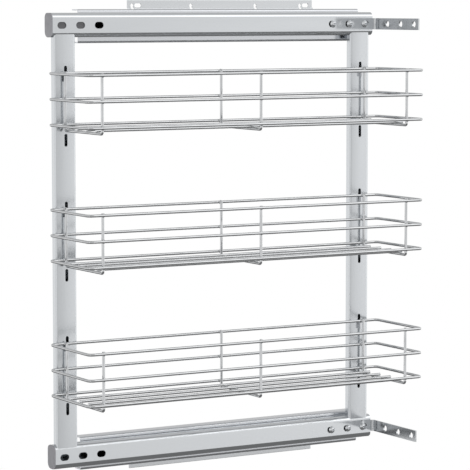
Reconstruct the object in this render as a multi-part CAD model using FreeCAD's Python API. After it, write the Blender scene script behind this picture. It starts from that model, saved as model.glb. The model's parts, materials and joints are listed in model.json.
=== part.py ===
import FreeCAD, Part
import math
import os

V = FreeCAD.Vector

# Three-tier pull-out basket for a narrow base cabinet, in millimetres.
# +X is the way it pulls out, +Z is up, and the cabinet side is the plane y = 0 with the baskets on its -Y side.
# The origin is midway between the two upper wall slots, on the cabinet side.

# Wall brackets
wall_slot_spacing = 246.0
wall_slot_length = 9.8
wall_slot_width = 5.0
wall_slot_drop = 6.8
wall_slot_rear_margin = 14.8
wall_slot_front_margin = 10.0
wall_bracket_sheet = 1.5
wall_bracket_joggle = 2.2
wall_bracket_bend = 1.0
wall_bracket_edge_r = 0.5
wall_bracket_leg_margin = 2.0
upper_bracket_rise = 11.4
lower_bracket_rise = 8.2
keyhole_width = 4.4
keyhole_height = 5.0
keyhole_neck = 2.4
keyhole_below_slot = 0.2
keyhole_fold_r = 2.4
keyhole_beside_slot = 8.2
keyhole_from_middle = 47.2
wall_hole_spacing = 128.0
wall_hole_r = 2.6

# Ball slides
slide_travel = 400.0
slide_overlap_end = 3.0
channel_length = 408.5
channel_height = 41.4
channel_depth = 16.0
channel_sheet = 1.5
channel_bend = 1.5
channel_wall_gap = 0.5
channel_edge_gap = 0.3
bracket_inset = 78.2
intermediate_shortfall = 10.0
intermediate_sheet = 1.2
intermediate_bend = 1.0
intermediate_depth = 10.5
intermediate_web_gap = 1.8
fixed_sheet = 1.5
fixed_bend = 1.0
fixed_depth = 9.5
outer_ball_r = 2.0
inner_ball_r = 1.5
track_clearance = 0.05
outer_track_depth = 0.5
inner_track_depth = 0.4
outer_ball_setback = 6.2
inner_ball_setback = 9.7
cage_length = 180.0
cage_ball_pitch = 75.0
cage_balls = 3
cage_hole_clearance = 0.15
outer_cage_sheet = 1.0
outer_cage_width = 7.0
inner_cage_sheet = 0.8
inner_cage_width = 6.0

# Frame
rail_pitch = 528.8
rail_above_channel = 1.7
rail_length = 463.1
rail_height = 29.6
rail_depth = 20.0
rail_wall = 1.5
rail_front_top_r = 6.2
rail_front_bottom_r = 6.3
rail_back_top_r = 6.5
rail_back_bottom_r = 7.5
rail_rear_overhang = 45.1
rail_slot_count = 3
rail_slot_pitch = 25.3
rail_slot_rear_end = 13.4
rail_slot_front_end = 11.2
rail_slot_drop = 0.3
rail_slot_length = 12.0
rail_slot_width = 8.2
post_width = 29.0
post_depth = 11.0
post_corner_r = 3.0
post_wall = 1.2
rear_post_inset = 17.5
front_post_inset = 19.1
post_setback = 0.5
post_cope_gap = 0.05
hook_slot_pitch = 82.5
hook_slot_count = 6
hook_slot_height = 15.5
hook_slot_width = 4.0
hook_slot_shift = 0.6
first_hook_slot_drop = 56.8
cap_plate = 1.0
cap_plug_clearance = 0.1
cap_plug_wall = 2.0
long_cap_plug = 48.0
short_cap_plug = 7.0

# Rivets and screws
rivet_r = 2.4
rivet_hole_clearance = 0.05
rivet_head_r = 4.2
rivet_head_height = 1.2
rivet_tail_r = 3.6
rivet_tail_height = 1.2
wall_rivet_spread = 110.0
rail_rivet_spread = 140.0
screw_r = 2.5
screw_head_r = 4.6
screw_head_height = 3.2
screw_recess_r = 1.6
screw_recess_depth = 1.6
screw_past = 1.5
screw_hole_clearance = 0.05
screw_shifts = (1.2, 1.2, -1.2)

# Door brackets
door_bracket_sheet = 2.0
door_bracket_height = 14.6
door_bracket_bend = 3.0
door_bracket_end_margin = 8.0
door_leg_standoff = 5.3
door_leg_length = 96.3
door_hole_count = 3
door_hole_pitch = 30.0
door_hole_end = 9.6
door_hole_r = 4.0

# Baskets
basket_every_slots = 2
basket_count = 3
wire_d = 3.5
basket_width = 104.0
basket_rear_overhang = 20.2
basket_front_overhang = 23.2
ring_count = 3
ring_pitch = 31.1
ring_corner_r = 6.0
ring_below_slot = 1.3
ring_post_gap = 0.3
cross_wire_bend_r = 3.0
cross_wire_rise = 0.55
floor_wire_count = 4
floor_wire_pitch = 24.0
floor_wire_overhang = 2.0
hook_thickness = 3.0
hook_drop = 5.0
hook_nose = 2.5
hook_nose_gap = 0.35
hook_seat_gap = 0.2
hook_body_height = 8.5

# How far a cutter runs past the faces that it cuts
cut_past = 1.0

# Places along X
bracket_rear_x = -wall_slot_spacing / 2 - wall_slot_rear_margin
bracket_length = wall_slot_rear_margin + wall_slot_spacing + wall_slot_front_margin
bracket_mid_x = bracket_rear_x + bracket_length / 2
channel_rear_x = bracket_rear_x - bracket_inset
fixed_rear_x = channel_rear_x + slide_overlap_end
fixed_length = channel_length - 2 * slide_overlap_end
intermediate_rear_x = fixed_rear_x + intermediate_shortfall
intermediate_length = fixed_length - 2 * intermediate_shortfall
rail_rear_x = channel_rear_x - rail_rear_overhang
rail_front_x = rail_rear_x + rail_length
rear_post_x = rail_rear_x + rear_post_inset
front_post_x = rail_front_x - front_post_inset
rear_hook_x = rear_post_x + hook_slot_shift
front_hook_x = front_post_x + hook_slot_shift
outer_cage_x = (channel_rear_x + intermediate_rear_x + intermediate_length) / 2
inner_cage_x = (intermediate_rear_x + fixed_rear_x + fixed_length) / 2

# Places along Y, from the cabinet side towards the baskets
front_leg_back_y = -wall_bracket_joggle
front_leg_face_y = front_leg_back_y - wall_bracket_sheet
channel_back_y = front_leg_face_y - channel_wall_gap
channel_face_y = channel_back_y - channel_depth
intermediate_face_y = channel_face_y + channel_sheet + intermediate_web_gap
outer_ball_y = channel_face_y + channel_sheet + outer_ball_setback
inner_ball_y = channel_face_y + channel_sheet + inner_ball_setback
rail_back_y = channel_face_y
rail_face_y = rail_back_y - rail_depth
post_face_y = rail_face_y + post_setback
basket_back_y = post_face_y - ring_post_gap - wire_d / 2
basket_front_y = basket_back_y - basket_width

# Heights, from the upper wall slots down
top_channel_z = wall_slot_drop - upper_bracket_rise - channel_height / 2
top_rail_z = top_channel_z + rail_above_channel
bottom_rail_z = top_rail_z - rail_pitch
bottom_channel_z = bottom_rail_z - rail_above_channel
first_hook_slot_z = top_rail_z - first_hook_slot_drop

# Half heights in the slide, from its own centre line outwards
channel_inner_z = channel_height / 2 - channel_sheet
outer_ball_z = channel_inner_z + outer_track_depth - outer_ball_r - track_clearance
intermediate_outer_z = outer_ball_z - outer_ball_r - track_clearance + outer_track_depth
intermediate_inner_z = intermediate_outer_z - intermediate_sheet
inner_ball_z = intermediate_inner_z + inner_track_depth - inner_ball_r - track_clearance
fixed_outer_z = inner_ball_z - inner_ball_r - track_clearance + inner_track_depth

os.makedirs("parts", exist_ok=True)


def save(name, solids):
    """Write one named node, a single solid or a group of separate solids."""
    shape = solids[0] if len(solids) == 1 else Part.makeCompound(solids)
    shape.exportStep("parts/" + name + ".step")


def rounded_wire(corners):
    """Closed outline through points with radii, given as (point, radius) pairs in order."""
    starts, ends, arcs = [], [], []
    count = len(corners)
    for i in range(count):
        before, (point, radius), after = corners[i - 1][0], corners[i], corners[(i + 1) % count][0]
        if radius <= 0:
            starts.append(point)
            ends.append(point)
            arcs.append(None)
            continue
        to_before = (before - point).normalize()
        to_after = (after - point).normalize()
        half = to_before.getAngle(to_after) / 2
        reach = radius / math.tan(half)
        middle = (to_before + to_after).normalize()
        starts.append(point + to_before * reach)
        ends.append(point + to_after * reach)
        arcs.append(point + middle * (radius / math.sin(half) - radius))
    edges = []
    for i in range(count):
        if arcs[i] is not None:
            edges.append(Part.Arc(starts[i], arcs[i], ends[i]).toShape())
        following = starts[(i + 1) % count]
        if (following - ends[i]).Length > 1e-6:
            edges.append(Part.makeLine(ends[i], following))
    return Part.Wire(edges)


def along_x(section, x, length):
    """Extrude a section, given as (y, z, radius) corners, along X."""
    wire = rounded_wire([(V(x, y, z), r) for y, z, r in section])
    return Part.Face(wire).extrude(V(length, 0, 0))


def flip_z(section, centre_z):
    """The same section turned upside down about a height."""
    return [(y, 2 * centre_z - z, r) for y, z, r in reversed(section)]


def stadium(centre, along, across, length, width, depth):
    """A slot-shaped cutter: its long axis runs along, its depth is a vector."""
    a = along * (length / 2 - width / 2)
    b = across * (width / 2)
    tip = along * (length / 2)
    wire = Part.Wire([
        Part.makeLine(centre - a + b, centre + a + b),
        Part.Arc(centre + a + b, centre + tip, centre + a - b).toShape(),
        Part.makeLine(centre + a - b, centre - a - b),
        Part.Arc(centre - a - b, centre - tip, centre - a + b).toShape(),
    ])
    return Part.Face(wire).extrude(depth)


def rod_y(x, y0, y1, z, radius):
    """A cylinder along Y between two depths."""
    return Part.makeCylinder(radius, y1 - y0, V(x, y0, z), V(0, 1, 0))


def rod_x(x, length, y, z, radius):
    """A cylinder along X."""
    return Part.makeCylinder(radius, length, V(x, y, z), V(1, 0, 0))


def rivet(x, z, head_y, inner_y, tail_r, tail_height):
    """A rivet along Y: its head stands on the -Y side of head_y and its tail beyond inner_y."""
    head = rod_y(x, head_y - rivet_head_height, head_y, z, rivet_head_r)
    shank = rod_y(x, head_y, inner_y, z, rivet_r)
    tail = rod_y(x, inner_y, inner_y + tail_height, z, tail_r)
    return head.fuse([shank, tail]).removeSplitter()


# Wall brackets: a leg on the wall with the fixing slots, joggled forward into the leg that carries the slide

def wall_bracket_section(channel_z, rise):
    """Z section of the upper bracket, in (y, z, radius) corners."""
    t = wall_bracket_sheet
    bend = wall_bracket_bend
    edge_z = channel_z + channel_height / 2
    ledge_z = edge_z + channel_edge_gap
    top_z = edge_z + rise
    foot_z = channel_z - fixed_outer_z - wall_bracket_leg_margin
    return [
        (0, top_z, 0),
        (0, ledge_z, bend + t),
        (front_leg_back_y, ledge_z, 0),
        (front_leg_back_y, foot_z, 0),
        (front_leg_face_y, foot_z, 0),
        (front_leg_face_y, ledge_z + t, bend),
        (-t, ledge_z + t, 0),
        (-t, top_z, wall_bracket_edge_r),
    ]


def wall_holes(solid, z, y0, y1):
    """Wall screw holes and rivet holes through the bracket leg and the fixed member."""
    cutters = []
    for side in (-1, 1):
        cutters.append(rod_y(bracket_mid_x + side * wall_hole_spacing / 2, y0, y1, z, wall_hole_r))
    for place in (-1, 0, 1):
        x = bracket_mid_x + place * wall_rivet_spread
        cutters.append(rod_y(x, y0, y1, z, rivet_r + rivet_hole_clearance))
    return solid.cut(cutters)


def keyhole_cutters(channel_z):
    """Slots and keyholes of the upper bracket: each keyhole ends in a round hole on the fold."""
    depth = V(0, wall_bracket_joggle + wall_bracket_sheet + 2 * cut_past, 0)
    start_y = front_leg_face_y - cut_past
    slot_z = channel_z + channel_height / 2 + upper_bracket_rise - wall_slot_drop
    fold_z = channel_z + channel_height / 2 + channel_edge_gap + wall_bracket_sheet / 2
    hole_z = slot_z - keyhole_below_slot
    cutters = []
    for side in (-1, 1):
        slot_x = side * wall_slot_spacing / 2
        cutters.append(stadium(V(slot_x, start_y, slot_z), V(1, 0, 0), V(0, 0, 1),
                               wall_slot_length, wall_slot_width, depth))
        for x in (slot_x - keyhole_beside_slot, side * keyhole_from_middle):
            cutters.append(stadium(V(x, start_y, hole_z), V(0, 0, 1), V(1, 0, 0),
                                   keyhole_height, keyhole_width, depth))
            cutters.append(Part.makeBox(keyhole_neck, depth.y, hole_z - fold_z,
                                        V(x - keyhole_neck / 2, start_y, fold_z)))
            cutters.append(rod_y(x, start_y, start_y + depth.y, fold_z, keyhole_fold_r))
    return cutters


def wall_bracket(channel_z, rise, upside_down, slotted):
    """One bracket; the slotted one has the fixing slots and the keyholes."""
    section = wall_bracket_section(channel_z, rise)
    if upside_down:
        section = flip_z(section, channel_z)
    solid = along_x(section, bracket_rear_x, bracket_length)
    if slotted:
        solid = solid.cut(keyhole_cutters(channel_z))
    return wall_holes(solid, channel_z, front_leg_face_y - cut_past, cut_past)


# Slide members: the fixed one on the bracket, the channel on the frame rail and one between them

def fixed_member(z):
    t = fixed_sheet
    back = front_leg_face_y
    tip = back - fixed_depth
    section = [
        (back, z - fixed_outer_z, fixed_bend + t),
        (tip, z - fixed_outer_z, 0),
        (tip, z - fixed_outer_z + t, 0),
        (back - t, z - fixed_outer_z + t, fixed_bend),
        (back - t, z + fixed_outer_z - t, fixed_bend),
        (tip, z + fixed_outer_z - t, 0),
        (tip, z + fixed_outer_z, 0),
        (back, z + fixed_outer_z, fixed_bend + t),
    ]
    solid = along_x(section, fixed_rear_x, fixed_length)
    solid = solid.cut(ball_tracks(fixed_rear_x, fixed_length, inner_ball_y, z, inner_ball_z, inner_ball_r))
    return wall_holes(solid, z, back - t - cut_past, back + cut_past)


def ball_tracks(x, length, y, z, half_height, radius):
    """Groove cutters for the balls, one above and one below the centre line."""
    reach = radius + track_clearance
    return [rod_x(x - cut_past, length + 2 * cut_past, y, z + side * half_height, reach) for side in (-1, 1)]


def intermediate_member(z):
    t = intermediate_sheet
    face = intermediate_face_y
    tip = face + intermediate_depth
    outer = intermediate_outer_z
    section = [
        (face, z + outer, intermediate_bend + t),
        (tip, z + outer, 0),
        (tip, z + outer - t, 0),
        (face + t, z + outer - t, intermediate_bend),
        (face + t, z - outer + t, intermediate_bend),
        (tip, z - outer + t, 0),
        (tip, z - outer, 0),
        (face, z - outer, intermediate_bend + t),
    ]
    solid = along_x(section, intermediate_rear_x, intermediate_length)
    outer_tracks = ball_tracks(
        intermediate_rear_x, intermediate_length, outer_ball_y, z, outer_ball_z, outer_ball_r)
    inner_tracks = ball_tracks(
        intermediate_rear_x, intermediate_length, inner_ball_y, z, inner_ball_z, inner_ball_r)
    return solid.cut(outer_tracks + inner_tracks)


def moving_channel(z):
    t = channel_sheet
    face = channel_face_y
    back = channel_back_y
    half = channel_height / 2
    section = [
        (face, z + half, channel_bend + t),
        (back, z + half, 0),
        (back, z + half - t, 0),
        (face + t, z + half - t, channel_bend),
        (face + t, z - half + t, channel_bend),
        (back, z - half + t, 0),
        (back, z - half, 0),
        (face, z - half, channel_bend + t),
    ]
    solid = along_x(section, channel_rear_x, channel_length)
    solid = solid.cut(ball_tracks(channel_rear_x, channel_length, outer_ball_y, z, outer_ball_z, outer_ball_r))
    return solid.cut(rail_rivet_holes(z))


def cage_ball_places(mid_x):
    return [mid_x + (i - (cage_balls - 1) / 2) * cage_ball_pitch for i in range(cage_balls)]


def balls(mid_x, y, z, half_height, radius):
    """One row of balls above and one below the slide's centre line."""
    return [Part.makeSphere(radius, V(x, y, z + side * half_height))
            for side in (-1, 1) for x in cage_ball_places(mid_x)]


def cage_strips(mid_x, y, z, half_height, radius, sheet, width):
    """The two strips that keep a slide's balls apart."""
    strips = []
    for side in (-1, 1):
        centre_z = z + side * half_height
        corner = V(mid_x - cage_length / 2, y - width / 2, centre_z - sheet / 2)
        strip = Part.makeBox(cage_length, width, sheet, corner)
        hole_r = radius + cage_hole_clearance
        hole_z = centre_z - sheet / 2 - cut_past
        holes = [Part.makeCylinder(hole_r, sheet + 2 * cut_past, V(x, y, hole_z))
                 for x in cage_ball_places(mid_x)]
        strips.append(strip.cut(holes))
    return strips


# Frame rails: rounded tubes with slots near both ends

def rail_section(z, inset):
    """Outline of the rail; inset shrinks it, and a negative inset grows it."""
    front = rail_face_y + inset
    back = rail_back_y - inset
    top = z + rail_height / 2 - inset
    bottom = z - rail_height / 2 + inset
    return [
        (front, top, rail_front_top_r - inset),
        (back, top, rail_back_top_r - inset),
        (back, bottom, rail_back_bottom_r - inset),
        (front, bottom, rail_front_bottom_r - inset),
    ]


def rail_slot_places():
    """Slot centres from the rear end, then the same row from the front end."""
    rear = [rail_rear_x + rail_slot_rear_end + i * rail_slot_pitch for i in range(rail_slot_count)]
    last = rail_front_x - rail_slot_front_end
    front = [last - i * rail_slot_pitch for i in reversed(range(rail_slot_count))]
    return rear, front


def rail_rivet_places():
    middle = channel_rear_x + channel_length / 2
    return [middle + place * rail_rivet_spread for place in (-1, 0, 1)]


def rail_rivet_holes(channel_z):
    y0 = rail_back_y - rail_wall - cut_past
    y1 = rail_back_y + channel_sheet + cut_past
    return [rod_y(x, y0, y1, channel_z, rivet_r + rivet_hole_clearance) for x in rail_rivet_places()]


def frame_rail(rail_z, channel_z):
    x = rail_rear_x + cap_plate
    length = rail_length - cap_plate
    tube = along_x(rail_section(rail_z, 0), x, length)
    bore = along_x(rail_section(rail_z, rail_wall), x - cut_past, length + 2 * cut_past)
    rear, front = rail_slot_places()
    cutters = [bore] + rail_rivet_holes(channel_z)
    for place in rear + front:
        start = V(place, rail_face_y - cut_past, rail_z - rail_slot_drop)
        cutters.append(stadium(start, V(1, 0, 0), V(0, 0, 1), rail_slot_length, rail_slot_width,
                               V(0, rail_wall + 2 * cut_past, 0)))
    return tube.cut(cutters)


def rail_rivets(channel_z):
    """Rivets from inside the channel into the rail, heads on the channel's web."""
    solids = []
    for x in rail_rivet_places():
        web_y = channel_face_y + channel_sheet
        tube_y = rail_back_y - rail_wall
        head = rod_y(x, web_y, web_y + rivet_head_height, channel_z, rivet_head_r)
        shank = rod_y(x, tube_y, web_y, channel_z, rivet_r)
        tail = rod_y(x, tube_y - rivet_tail_height, tube_y, channel_z, rivet_tail_r)
        solids.append(head.fuse([shank, tail]).removeSplitter())
    return solids


def rear_end_cap(rail_z, plug_length):
    """A plate flush with the rail and a hollow plug that fits the rail's bore."""
    plate = along_x(rail_section(rail_z, 0), rail_rear_x, cap_plate)
    outside = rail_wall + cap_plug_clearance
    plug = along_x(rail_section(rail_z, outside), rail_rear_x + cap_plate, plug_length)
    inside = rail_section(rail_z, outside + cap_plug_wall)
    hollow = along_x(inside, rail_rear_x + cap_plate, plug_length + cut_past)
    return plate.fuse(plug.cut(hollow)).removeSplitter()


# Posts: rounded tubes coped to the rails, with a column of hook slots in front

def post(centre_x, hook_x):
    z0 = bottom_rail_z
    z1 = top_rail_z
    outer = post_tube(centre_x, 0, z0, z1)
    bore = post_tube(centre_x, post_wall, z0 - cut_past, z1 + cut_past)
    cutters = [bore]
    for rail_z in (bottom_rail_z, top_rail_z):
        cutters.append(along_x(rail_section(rail_z, -post_cope_gap),
                               centre_x - post_width / 2 - cut_past, post_width + 2 * cut_past))
    for i in range(hook_slot_count):
        centre = V(hook_x, post_face_y - cut_past, first_hook_slot_z - i * hook_slot_pitch)
        cutters.append(stadium(centre, V(0, 0, 1), V(1, 0, 0), hook_slot_height, hook_slot_width,
                               V(0, post_wall + 2 * cut_past, 0)))
    return outer.cut(cutters)


def post_tube(centre_x, inset, z0, z1):
    x0 = centre_x - post_width / 2 + inset
    x1 = centre_x + post_width / 2 - inset
    y0 = post_face_y + inset
    y1 = post_face_y + post_depth - inset
    r = post_corner_r - inset
    wire = rounded_wire([(V(x0, y0, z0), r), (V(x1, y0, z0), r), (V(x1, y1, z0), r), (V(x0, y1, z0), r)])
    return Part.Face(wire).extrude(V(0, 0, z1 - z0))


# Door brackets: a strip clamped inside the rail's front wall, bent to stand along the back of the door

def door_bracket(row_z):
    t = door_bracket_sheet
    bend = door_bracket_bend
    face_y = rail_face_y + rail_wall
    leg_x = rail_front_x + door_leg_standoff
    end_y = rail_face_y - door_leg_length
    start_x = screw_places()[0] - door_bracket_end_margin
    z = row_z - door_bracket_height / 2
    wire = rounded_wire([
        (V(start_x, face_y + t, z), 0),
        (V(start_x, face_y, z), 0),
        (V(leg_x, face_y, z), bend),
        (V(leg_x, end_y, z), 0),
        (V(leg_x + t, end_y, z), 0),
        (V(leg_x + t, face_y + t, z), bend + t),
    ])
    solid = Part.Face(wire).extrude(V(0, 0, door_bracket_height))
    hole_r = screw_r + screw_hole_clearance
    cutters = [rod_y(x, face_y - cut_past, face_y + t + cut_past, row_z, hole_r) for x in screw_places()]
    for y in door_hole_places():
        cutters.append(rod_x(leg_x - cut_past, t + 2 * cut_past, y, row_z, door_hole_r))
    return solid.cut(cutters)


def door_hole_places():
    end_y = rail_face_y - door_leg_length
    return [end_y + door_hole_end + i * door_hole_pitch for i in range(door_hole_count)]


def screw_places():
    return [place + shift for place, shift in zip(rail_slot_places()[1], screw_shifts)]


def bracket_screws(row_z):
    """Domed screws through the rail's slots into the bracket, heads on the rail's face."""
    solids = []
    tip_y = rail_face_y - screw_head_height
    end_y = rail_face_y + rail_wall + door_bracket_sheet + screw_past
    dome_r = (screw_head_r ** 2 + screw_head_height ** 2) / (2 * screw_head_height)
    for x in screw_places():
        dome = Part.makeSphere(dome_r, V(x, tip_y + dome_r, row_z))
        keep = rod_y(x, tip_y - cut_past, rail_face_y, row_z, screw_head_r)
        recess = rod_y(x, tip_y - cut_past, tip_y + screw_recess_depth, row_z, screw_recess_r)
        shank = rod_y(x, rail_face_y, end_y, row_z, screw_r)
        solids.append(dome.common(keep).cut(recess).fuse(shank).removeSplitter())
    return solids


# Baskets: bent wires, welded where they cross

def wire_along(edges, start, direction):
    """Sweep the wire's round section along a path."""
    circle = Part.Wire(Part.makeCircle(wire_d / 2, start, direction))
    return Part.Wire(edges).makePipeShell([circle], True, False)


def ring(z):
    """A closed rounded rectangle of wire at one height."""
    x0, x1 = basket_ends()
    outline = rounded_wire([
        (V(x0, basket_front_y, z), ring_corner_r),
        (V(x1, basket_front_y, z), ring_corner_r),
        (V(x1, basket_back_y, z), ring_corner_r),
        (V(x0, basket_back_y, z), ring_corner_r),
    ])
    start = outline.Edges[0].valueAt(outline.Edges[0].FirstParameter)
    direction = outline.Edges[0].tangentAt(outline.Edges[0].FirstParameter)
    return wire_along(outline.Edges, start, direction)


def hook_places():
    return rear_hook_x, front_hook_x


def cross_wire_places():
    """Each end cross wire stands beside its hook, and the third is at the middle of the basket."""
    reach = hook_thickness / 2 + wire_d / 2
    rear = rear_hook_x - reach
    front = front_hook_x + reach
    middle = (rear - basket_rear_overhang + front + basket_front_overhang) / 2
    return rear, middle, front


def basket_ends():
    rear, middle, front = cross_wire_places()
    return rear - basket_rear_overhang, front + basket_front_overhang


def low_ring_z(top_z):
    return top_z - (ring_count - 1) * ring_pitch


def cross_wire(x, top_z):
    """A U of wire inside the rings: down, under the floor wires and up."""
    back = basket_back_y - wire_d
    front = basket_front_y + wire_d
    end_z = top_z + wire_d / 2 + cross_wire_rise
    run_z = low_ring_z(top_z) - 2 * wire_d
    r = cross_wire_bend_r
    chord = r - r / math.sqrt(2)
    edges = [
        Part.makeLine(V(x, back, end_z), V(x, back, run_z + r)),
        Part.Arc(V(x, back, run_z + r), V(x, back - chord, run_z + chord), V(x, back - r, run_z)).toShape(),
        Part.makeLine(V(x, back - r, run_z), V(x, front + r, run_z)),
        Part.Arc(V(x, front + r, run_z), V(x, front + chord, run_z + chord), V(x, front, run_z + r)).toShape(),
        Part.makeLine(V(x, front, run_z + r), V(x, front, end_z)),
    ]
    return wire_along(edges, V(x, back, end_z), V(0, 0, -1))


def floor_wires(top_z):
    """Straight wires lengthwise on the bottoms of the cross wires."""
    rear, middle, front = cross_wire_places()
    z = low_ring_z(top_z) - wire_d
    mid_y = (basket_back_y + basket_front_y) / 2
    wires = []
    for i in range(floor_wire_count):
        y = mid_y + (i - (floor_wire_count - 1) / 2) * floor_wire_pitch
        length = front - rear + 2 * floor_wire_overhang
        wires.append(rod_x(rear - floor_wire_overhang, length, y, z, wire_d / 2))
    return wires


def hook(x, slot_z, top_z):
    """A flat hook beside the cross wire: through the slot and down behind the post's front wall."""
    body_y = basket_back_y - wire_d
    face_y = post_face_y - ring_post_gap
    inside_y = post_face_y + post_wall + hook_nose_gap
    nose_y = inside_y + hook_nose
    top = top_z - wire_d / 2
    slot_r = hook_slot_width / 2
    round_rise = slot_r - math.sqrt(slot_r ** 2 - (hook_thickness / 2) ** 2)
    seat_z = slot_z - hook_slot_height / 2 + round_rise + hook_seat_gap
    left = x - hook_thickness / 2
    points = [
        (body_y, top), (nose_y, top), (nose_y, seat_z - hook_drop), (inside_y, seat_z - hook_drop),
        (inside_y, seat_z), (face_y, seat_z), (face_y, top - hook_body_height),
        (body_y, top - hook_body_height),
    ]
    outline = Part.makePolygon([V(left, y, z) for y, z in points + points[:1]])
    return Part.Face(outline).extrude(V(hook_thickness, 0, 0))


# Write the nodes

for name, channel_z, rail_z, rise, upside_down, plug in (
        ("top", top_channel_z, top_rail_z, upper_bracket_rise, False, long_cap_plug),
        ("bottom", bottom_channel_z, bottom_rail_z, lower_bracket_rise, True, short_cap_plug)):
    save(name + "_wall_bracket", [wall_bracket(channel_z, rise, upside_down, not upside_down)])
    save(name + "_fixed_slide_member", [fixed_member(channel_z)])
    save(name + "_wall_rivets", [
        rivet(bracket_mid_x + place * wall_rivet_spread, channel_z, front_leg_face_y - fixed_sheet,
              front_leg_back_y, rivet_tail_r, rivet_tail_height) for place in (-1, 0, 1)])
    save(name + "_intermediate_slide_member", [intermediate_member(channel_z)])
    save(name + "_moving_channel", [moving_channel(channel_z)])
    save(name + "_outer_ball_cage", cage_strips(
        outer_cage_x, outer_ball_y, channel_z, outer_ball_z, outer_ball_r,
        outer_cage_sheet, outer_cage_width))
    save(name + "_outer_balls", balls(outer_cage_x, outer_ball_y, channel_z, outer_ball_z, outer_ball_r))
    save(name + "_inner_ball_cage", cage_strips(
        inner_cage_x, inner_ball_y, channel_z, inner_ball_z, inner_ball_r,
        inner_cage_sheet, inner_cage_width))
    save(name + "_inner_balls", balls(inner_cage_x, inner_ball_y, channel_z, inner_ball_z, inner_ball_r))
    save(name + "_frame_rail", [frame_rail(rail_z, channel_z)])
    save(name + "_rail_rivets", rail_rivets(channel_z))
    save(name + "_rear_end_cap", [rear_end_cap(rail_z, plug)])
    save(name + "_door_bracket", [door_bracket(rail_z - rail_slot_drop)])
    save(name + "_bracket_screws", bracket_screws(rail_z - rail_slot_drop))

save("rear_post", [post(rear_post_x, rear_hook_x)])
save("front_post", [post(front_post_x, front_hook_x)])

for index, name in zip(range(basket_count), ("upper", "middle", "lower")):
    slot_z = first_hook_slot_z - index * basket_every_slots * hook_slot_pitch
    top_z = slot_z - ring_below_slot
    for step, level in zip(range(ring_count), ("top", "middle", "low")):
        save(name + "_basket_" + level + "_ring", [ring(top_z - step * ring_pitch)])
    save(name + "_basket_cross_wires", [cross_wire(x, top_z) for x in cross_wire_places()])
    save(name + "_basket_floor_wires", floor_wires(top_z))
    save(name + "_basket_hooks", [hook(x, slot_z, top_z) for x in hook_places()])
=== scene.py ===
import bpy
import bmesh
import json
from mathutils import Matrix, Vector, noise


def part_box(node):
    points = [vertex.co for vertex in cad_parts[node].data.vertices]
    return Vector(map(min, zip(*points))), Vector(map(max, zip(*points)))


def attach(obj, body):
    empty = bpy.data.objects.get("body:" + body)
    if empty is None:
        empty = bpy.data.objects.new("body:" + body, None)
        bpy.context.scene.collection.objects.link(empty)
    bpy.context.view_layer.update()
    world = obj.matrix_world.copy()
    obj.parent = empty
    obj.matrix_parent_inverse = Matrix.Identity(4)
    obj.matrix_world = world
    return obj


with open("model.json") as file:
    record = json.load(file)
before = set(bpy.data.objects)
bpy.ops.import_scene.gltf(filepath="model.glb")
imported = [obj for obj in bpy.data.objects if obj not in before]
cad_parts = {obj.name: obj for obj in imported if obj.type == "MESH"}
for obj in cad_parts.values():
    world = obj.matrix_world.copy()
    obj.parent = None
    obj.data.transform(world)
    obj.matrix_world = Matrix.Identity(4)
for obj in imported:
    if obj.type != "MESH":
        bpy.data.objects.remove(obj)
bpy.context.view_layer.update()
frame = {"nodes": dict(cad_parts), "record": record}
nodes = frame["nodes"]
scene = bpy.context.scene

# Camera: place, direction and lens found from the edges of the rails, posts and wires
CAMERA_AT = Vector((-1.5715, -2.7072, 0.0021))
CAMERA_LOOKS = Vector((0.50415, 0.85849, -0.09396))
SENSOR_MM = 36.0
LENS_MM = 187.7
CLIP_NEAR = 0.05
CLIP_FAR = 60.0

# Surfaces
WHITE = (1.0, 1.0, 1.0, 1.0)
PLAIN = (1.0, 1.0, 1.0)
TEXTURE_HEIGHT = 0.0002
CROWN_RADIUS = 0.15
CAP_PLATE = 0.0011
# Painted shade: how dark the plug inside the rail is made, standing in for the shade inside the rail
PLUG_PAINTED_SHADE = 0.42

# Weld beads
WIRE_R = 0.00175
BEAD_ACROSS = 0.0026
BEAD_THROUGH = 0.0011
BEAD_SUBDIVISIONS = 3
BEAD_UNEVEN = 0.12
BEAD_LUMP_SCALE = 1.7
BEAD_VARIETY = 900.0
FLOOR_WIRES_APART = 0.005
CROSS_WIRES_APART = 0.01

# Stage and light
FLOOR_REACH = 4.1
FLOOR_Z = -1.65
FLOOR_PALE = 0.8
FLOOR_GREY = 0.26
FLOOR_GLOW = 0.65
AMBIENT = 0.7
LIT_POINT = (0.0, -0.08, -0.28)

# Each lamp's name, place, size and power in watts
LAMPS = (
    ("softbox", (1.75, -2.4, 1.6), (1.6, 1.4), 6.0),
    ("right_strip", (2.3, -1.35, -0.28), (0.8, 2.6), 2.5),
    ("left_strip", (-2.3, -1.35, -0.28), (0.8, 2.6), 3.0),
)


def grey(level):
    return (level, level, level, 1.0)


def tint(r, g, b):
    return (r, g, b, 1.0)


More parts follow.
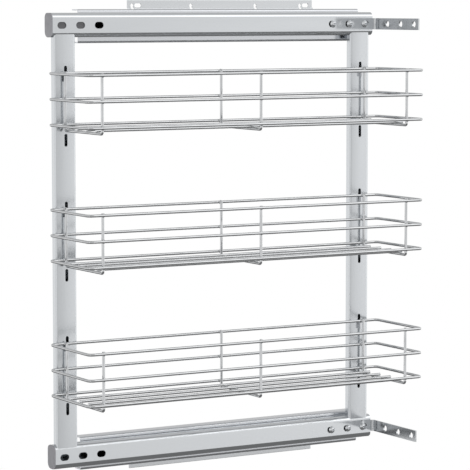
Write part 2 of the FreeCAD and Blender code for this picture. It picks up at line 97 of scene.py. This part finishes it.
class Nodes:
    """A short way to write a material's node tree."""

    def __init__(self, name):
        self.material = bpy.data.materials.new(name)
        self.material.use_nodes = True
        self.tree = self.material.node_tree
        self.tree.nodes.clear()
        self.out = self.add("ShaderNodeOutputMaterial")

    def add(self, kind, **settings):
        node = self.tree.nodes.new(kind)
        for key, value in settings.items():
            setattr(node, key, value)
        return node

    def link(self, source, target):
        self.tree.links.new(source, target)

    def coords(self, scale):
        place = self.add("ShaderNodeTexCoord")
        mapping = self.add("ShaderNodeMapping")
        mapping.inputs["Scale"].default_value = scale
        self.link(place.outputs["Object"], mapping.inputs["Vector"])
        return mapping.outputs["Vector"]

    def noise(self, vector, scale, detail, roughness):
        node = self.add("ShaderNodeTexNoise")
        node.inputs["Scale"].default_value = scale
        node.inputs["Detail"].default_value = detail
        node.inputs["Roughness"].default_value = roughness
        self.link(vector, node.inputs["Vector"])
        return node.outputs["Fac"]

    def ramp(self, value, start, low, stop, high):
        """From colour low at start to colour high at stop."""
        node = self.add("ShaderNodeValToRGB")
        elements = node.color_ramp.elements
        for element, (at, colour) in zip(elements, ((start, low), (stop, high))):
            element.position = at
            element.color = colour
        self.link(value, node.inputs["Fac"])
        return node.outputs["Color"]

    def level(self, value, low, high):
        node = self.add("ShaderNodeMapRange")
        node.inputs["To Min"].default_value = low
        node.inputs["To Max"].default_value = high
        self.link(value, node.inputs["Value"])
        return node.outputs["Result"]

    def bump(self, height, strength, distance):
        node = self.add("ShaderNodeBump")
        node.inputs["Strength"].default_value = strength
        node.inputs["Distance"].default_value = distance
        self.link(height, node.inputs["Height"])
        return node.outputs["Normal"]

    def crown(self, centre_x):
        """The slight bulge that a rolled tube's faces have."""
        place = self.add("ShaderNodeTexCoord")
        split = self.add("ShaderNodeSeparateXYZ")
        self.link(place.outputs["Object"], split.inputs["Vector"])
        offset = self.add("ShaderNodeMath", operation="SUBTRACT")
        offset.inputs[1].default_value = centre_x
        self.link(split.outputs["X"], offset.inputs[0])
        square = self.add("ShaderNodeMath", operation="MULTIPLY")
        self.link(offset.outputs["Value"], square.inputs[0])
        self.link(offset.outputs["Value"], square.inputs[1])
        height = self.add("ShaderNodeMath", operation="MULTIPLY")
        height.inputs[1].default_value = -0.5 / CROWN_RADIUS
        self.link(square.outputs["Value"], height.inputs[0])
        return self.bump(height.outputs["Value"], strength=1.0, distance=1.0)

    def shader(self, metallic, colour, roughness, normal):
        node = self.add("ShaderNodeBsdfPrincipled")
        node.inputs["Metallic"].default_value = metallic
        self.link(colour, node.inputs["Base Color"])
        self.link(roughness, node.inputs["Roughness"])
        self.link(normal, node.inputs["Normal"])
        self.link(node.outputs["BSDF"], self.out.inputs["Surface"])
        return self.material


def coated_metal(name, low, high, rough, grain_scale, crown_at=None):
    """Sheet or tube metal: faint grain, stretched by grain_scale, and a very fine speckle."""
    n = Nodes(name)
    grain = n.noise(n.coords(grain_scale), scale=1.0, detail=4.0, roughness=0.6)
    speckle = n.noise(n.coords(PLAIN), scale=900.0, detail=2.0, roughness=0.5)
    mix = n.add("ShaderNodeMix", data_type="FLOAT")
    mix.inputs[0].default_value = 0.35
    n.link(grain, mix.inputs[2])
    n.link(speckle, mix.inputs[3])
    colour = n.ramp(mix.outputs[0], 0.3, low, 0.7, high)
    roughness = n.level(grain, rough - 0.04, rough + 0.04)
    normal = n.bump(speckle, strength=0.01, distance=TEXTURE_HEIGHT)
    if crown_at is not None:
        n.link(n.crown(crown_at), normal.node.inputs["Normal"])
    return n.shader(1.0, colour, roughness, normal)


def plated_wire(name, low, high, rough):
    """Bright plated metal with slight unevenness of tone."""
    n = Nodes(name)
    cloud = n.noise(n.coords(PLAIN), scale=60.0, detail=3.0, roughness=0.5)
    fine = n.noise(n.coords(PLAIN), scale=300.0, detail=2.0, roughness=0.5)
    colour = n.ramp(cloud, 0.35, low, 0.65, high)
    roughness = n.level(fine, rough - 0.03, rough + 0.03)
    normal = n.bump(fine, strength=0.01, distance=TEXTURE_HEIGHT)
    return n.shader(1.0, colour, roughness, normal)


def moulded_plastic(name, low, high, rough, plug_from_x):
    """Moulded plastic with a fine spark-eroded texture, with painted shade on the plug inside the
    rail.
    """
    n = Nodes(name)
    cloud = n.noise(n.coords(PLAIN), scale=120.0, detail=3.0, roughness=0.5)
    fine = n.noise(n.coords(PLAIN), scale=1800.0, detail=2.0, roughness=0.6)
    colour = n.ramp(cloud, 0.3, low, 0.7, high)
    roughness = n.level(fine, rough - 0.05, rough + 0.08)
    normal = n.bump(fine, strength=0.15, distance=TEXTURE_HEIGHT)
    # Painted shade: past the cap plate, the plug inside the rail is darkened to stand in for the
    # shade that falls inside the rail
    place = n.add("ShaderNodeSeparateXYZ")
    n.link(n.coords(PLAIN), place.inputs["Vector"])
    inside = n.add("ShaderNodeMath", operation="GREATER_THAN")
    inside.inputs[1].default_value = plug_from_x
    n.link(place.outputs["X"], inside.inputs[0])
    shade = n.add("ShaderNodeMix", data_type="RGBA", blend_type="MULTIPLY")
    shade.inputs[7].default_value = grey(PLUG_PAINTED_SHADE)
    n.link(inside.outputs["Value"], shade.inputs[0])
    n.link(colour, shade.inputs[6])
    return n.shader(0.0, shade.outputs[2], roughness, normal)


# Materials, by the record's material slot
MATERIALS = {
    "frame_silver": coated_metal(
        "coated_frame", tint(0.64, 0.66, 0.68), tint(0.69, 0.71, 0.73),
        rough=0.10, grain_scale=(4.0, 60.0, 60.0)),
    "wall_bracket_zinc": coated_metal(
        "zinc_sheet", tint(0.65, 0.67, 0.69), tint(0.71, 0.725, 0.74),
        rough=0.20, grain_scale=(8.0, 90.0, 90.0)),
    "door_bracket_zinc": coated_metal(
        "zinc_strip", tint(0.54, 0.555, 0.57), tint(0.70, 0.715, 0.73),
        rough=0.20, grain_scale=(160.0, 160.0, 160.0)),
    "slide_steel": coated_metal(
        "rolled_steel", tint(0.60, 0.615, 0.64), tint(0.68, 0.695, 0.72),
        rough=0.18, grain_scale=(3.0, 120.0, 120.0)),
    "cage_steel": coated_metal(
        "cage_strip", tint(0.50, 0.51, 0.53), tint(0.60, 0.61, 0.63),
        rough=0.28, grain_scale=(20.0, 90.0, 90.0)),
    "fastener_zinc": plated_wire(
        "zinc_fasteners", tint(0.66, 0.68, 0.70), tint(0.76, 0.78, 0.80), rough=0.20),
    "ball_steel": plated_wire(
        "bearing_balls", tint(0.72, 0.73, 0.74), tint(0.78, 0.79, 0.80), rough=0.10),
    "wire_chrome": plated_wire(
        "bright_wire", tint(0.60, 0.61, 0.62), tint(0.67, 0.68, 0.69), rough=0.08),
    "hook_chrome": plated_wire(
        "bright_hook", tint(0.64, 0.65, 0.67), tint(0.72, 0.73, 0.75), rough=0.16),
    # The end caps' plug, inside the rail, gets painted shade
    "cap_grey": moulded_plastic(
        "grey_moulding", tint(0.36, 0.36, 0.385), tint(0.43, 0.43, 0.455),
        rough=0.45, plug_from_x=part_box("top_rear_end_cap")[0][0] + CAP_PLATE),
}

# The posts have upright grain and a crown about their own middle
for name in ("rear_post", "front_post"):
    low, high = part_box(name)
    MATERIALS[name] = coated_metal(
        "coated_" + name, tint(0.62, 0.64, 0.66), tint(0.68, 0.70, 0.72),
        rough=0.17, grain_scale=(60.0, 60.0, 4.0), crown_at=(low[0] + high[0]) / 2)

slots = {row["node"]: row["material_slot"] for row in frame["record"]["subparts"]}
for name, obj in nodes.items():
    obj.data.materials.clear()
    obj.data.materials.append(MATERIALS[name] if name in MATERIALS else MATERIALS[slots[name]])


def group_centres(values, gap):
    """Centres of the groups that a list of numbers falls into."""
    values = sorted(values)
    groups = [[values[0]]]
    for value in values[1:]:
        if value - groups[-1][-1] > gap:
            groups.append([])
        groups[-1].append(value)
    return [(group[0] + group[-1]) / 2 for group in groups]


def add_bead(mesh, centre, size):
    """A slightly uneven bead of weld metal."""
    centre = Vector(centre)
    made = bmesh.ops.create_icosphere(mesh, subdivisions=BEAD_SUBDIVISIONS, radius=1.0)
    for vertex in made["verts"]:
        lump = noise.noise(vertex.co * BEAD_LUMP_SCALE + centre * BEAD_VARIETY)
        uneven = 1.0 + BEAD_UNEVEN * lump
        vertex.co = centre + Vector([c * s * uneven for c, s in zip(vertex.co, size)])


def weld_beads(basket):
    """Resistance welds where the cross wires touch the rings and the floor wires."""
    cross_wires = nodes[basket + "_cross_wires"].data.vertices
    floor_wires = nodes[basket + "_floor_wires"].data.vertices
    floor_y = group_centres([vertex.co.y for vertex in floor_wires], FLOOR_WIRES_APART)
    floor_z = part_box(basket + "_floor_wires")[0][2]
    mesh = bmesh.new()
    for x in group_centres([vertex.co.x for vertex in cross_wires], CROSS_WIRES_APART):
        for ring in ("_top_ring", "_middle_ring", "_low_ring"):
            low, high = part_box(basket + ring)
            for y in (low[1] + 2 * WIRE_R, high[1] - 2 * WIRE_R):
                place = (x, y, (low[2] + high[2]) / 2)
                add_bead(mesh, place, (BEAD_ACROSS, BEAD_THROUGH, BEAD_ACROSS))
        for y in floor_y:
            add_bead(mesh, (x, y, floor_z), (BEAD_ACROSS, BEAD_ACROSS, BEAD_THROUGH))
    data = bpy.data.meshes.new(basket + "_welds")
    mesh.to_mesh(data)
    mesh.free()
    for face in data.polygons:
        face.use_smooth = True
    obj = bpy.data.objects.new(basket + "_welds", data)
    scene.collection.objects.link(obj)
    data.materials.append(MATERIALS["wire_chrome"])
    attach(obj, basket)


for basket in ("upper_basket", "middle_basket", "lower_basket"):
    weld_beads(basket)


def floor_material():
    """White with a soft shadow to the camera, a plain grey studio floor in the metal."""
    n = Nodes("pale_floor")
    path = n.add("ShaderNodeLightPath")
    plain = n.add("ShaderNodeBsdfDiffuse")
    plain.inputs["Color"].default_value = grey(FLOOR_GREY)
    pale = n.add("ShaderNodeBsdfDiffuse")
    pale.inputs["Color"].default_value = grey(FLOOR_PALE)
    glow = n.add("ShaderNodeEmission")
    glow.inputs["Color"].default_value = WHITE
    glow.inputs["Strength"].default_value = FLOOR_GLOW
    lit = n.add("ShaderNodeAddShader")
    n.link(pale.outputs["BSDF"], lit.inputs[0])
    n.link(glow.outputs["Emission"], lit.inputs[1])
    mix = n.add("ShaderNodeMixShader")
    n.link(path.outputs["Is Camera Ray"], mix.inputs["Fac"])
    n.link(plain.outputs["BSDF"], mix.inputs[1])
    n.link(lit.outputs["Shader"], mix.inputs[2])
    n.link(mix.outputs["Shader"], n.out.inputs["Surface"])
    return n.material


def make_floor():
    mesh = bpy.data.meshes.new("floor")
    corners = [(x, y, FLOOR_Z) for x, y in ((-FLOOR_REACH, -FLOOR_REACH), (FLOOR_REACH, -FLOOR_REACH),
                                            (FLOOR_REACH, FLOOR_REACH), (-FLOOR_REACH, FLOOR_REACH))]
    mesh.from_pydata(corners, [], [(0, 1, 2, 3)])
    obj = bpy.data.objects.new("floor", mesh)
    scene.collection.objects.link(obj)
    obj.data.materials.append(floor_material())


def area_light(name, at, size, power):
    """A rectangular lamp that faces the middle of the part."""
    data = bpy.data.lights.new(name, "AREA")
    data.shape = "RECTANGLE"
    data.size, data.size_y = size
    data.energy = power
    obj = bpy.data.objects.new(name, data)
    obj.location = at
    obj.rotation_euler = (Vector(LIT_POINT) - Vector(at)).to_track_quat("-Z", "Y").to_euler()
    scene.collection.objects.link(obj)


def make_world():
    """White behind the object, softly graded where the metal mirrors it."""
    world = bpy.data.worlds.new("studio")
    world.use_nodes = True
    tree = world.node_tree
    tree.nodes.clear()
    path = tree.nodes.new("ShaderNodeLightPath")
    direction = tree.nodes.new("ShaderNodeTexCoord").outputs["Generated"]

    def shade(towards, start, stop, level):
        """1 where the direction's product with towards is below start, then down to level at stop."""
        dot = tree.nodes.new("ShaderNodeVectorMath")
        dot.operation = "DOT_PRODUCT"
        dot.inputs[1].default_value = towards
        tree.links.new(direction, dot.inputs[0])
        ease = tree.nodes.new("ShaderNodeMapRange")
        ease.interpolation_type = "SMOOTHSTEP"
        ease.inputs["From Min"].default_value = start
        ease.inputs["From Max"].default_value = stop
        ease.inputs["To Min"].default_value = 1.0
        ease.inputs["To Max"].default_value = level
        tree.links.new(dot.outputs["Value"], ease.inputs["Value"])
        return ease.outputs["Result"]

    def maths(operation, first, second):
        node = tree.nodes.new("ShaderNodeMath")
        node.operation = operation
        tree.links.new(first, node.inputs[0])
        tree.links.new(second, node.inputs[1])
        return node.outputs["Value"]

    def mix(factor, low, high):
        """From low to high by factor, each a number or a socket."""
        node = tree.nodes.new("ShaderNodeMix")
        node.data_type = "FLOAT"
        tree.links.new(factor, node.inputs[0])
        for value, socket in ((low, node.inputs[2]), (high, node.inputs[3])):
            if isinstance(value, float):
                socket.default_value = value
            else:
                tree.links.new(value, socket)
        return node.outputs[0]

    camera_side = shade((-CAMERA_LOOKS.x, -CAMERA_LOOKS.y, 0.0), start=0.36, stop=0.70, level=0.74)
    overhead = shade((0.0, 0.6, 1.0), start=0.50, stop=0.72, level=0.62)
    mirrored = maths("MAXIMUM", path.outputs["Is Glossy Ray"], path.outputs["Is Transmission Ray"])
    strength = mix(mirrored, AMBIENT, maths("MULTIPLY", camera_side, overhead))
    background = tree.nodes.new("ShaderNodeBackground")
    background.inputs["Color"].default_value = WHITE
    tree.links.new(mix(path.outputs["Is Camera Ray"], strength, 1.0), background.inputs["Strength"])
    out = tree.nodes.new("ShaderNodeOutputWorld")
    tree.links.new(background.outputs["Background"], out.inputs["Surface"])
    scene.world = world


def make_camera():
    camera = bpy.data.cameras.new("photo_view")
    camera.sensor_width = SENSOR_MM
    camera.lens = LENS_MM
    camera.clip_start = CLIP_NEAR
    camera.clip_end = CLIP_FAR
    obj = bpy.data.objects.new("photo_view", camera)
    obj.location = CAMERA_AT
    obj.rotation_euler = CAMERA_LOOKS.to_track_quat("-Z", "Y").to_euler()
    scene.collection.objects.link(obj)
    scene.camera = obj


make_floor()
make_world()
for name, at, size, power in LAMPS:
    area_light(name, at, size, power)
make_camera()

scene.view_settings.view_transform = "Standard"
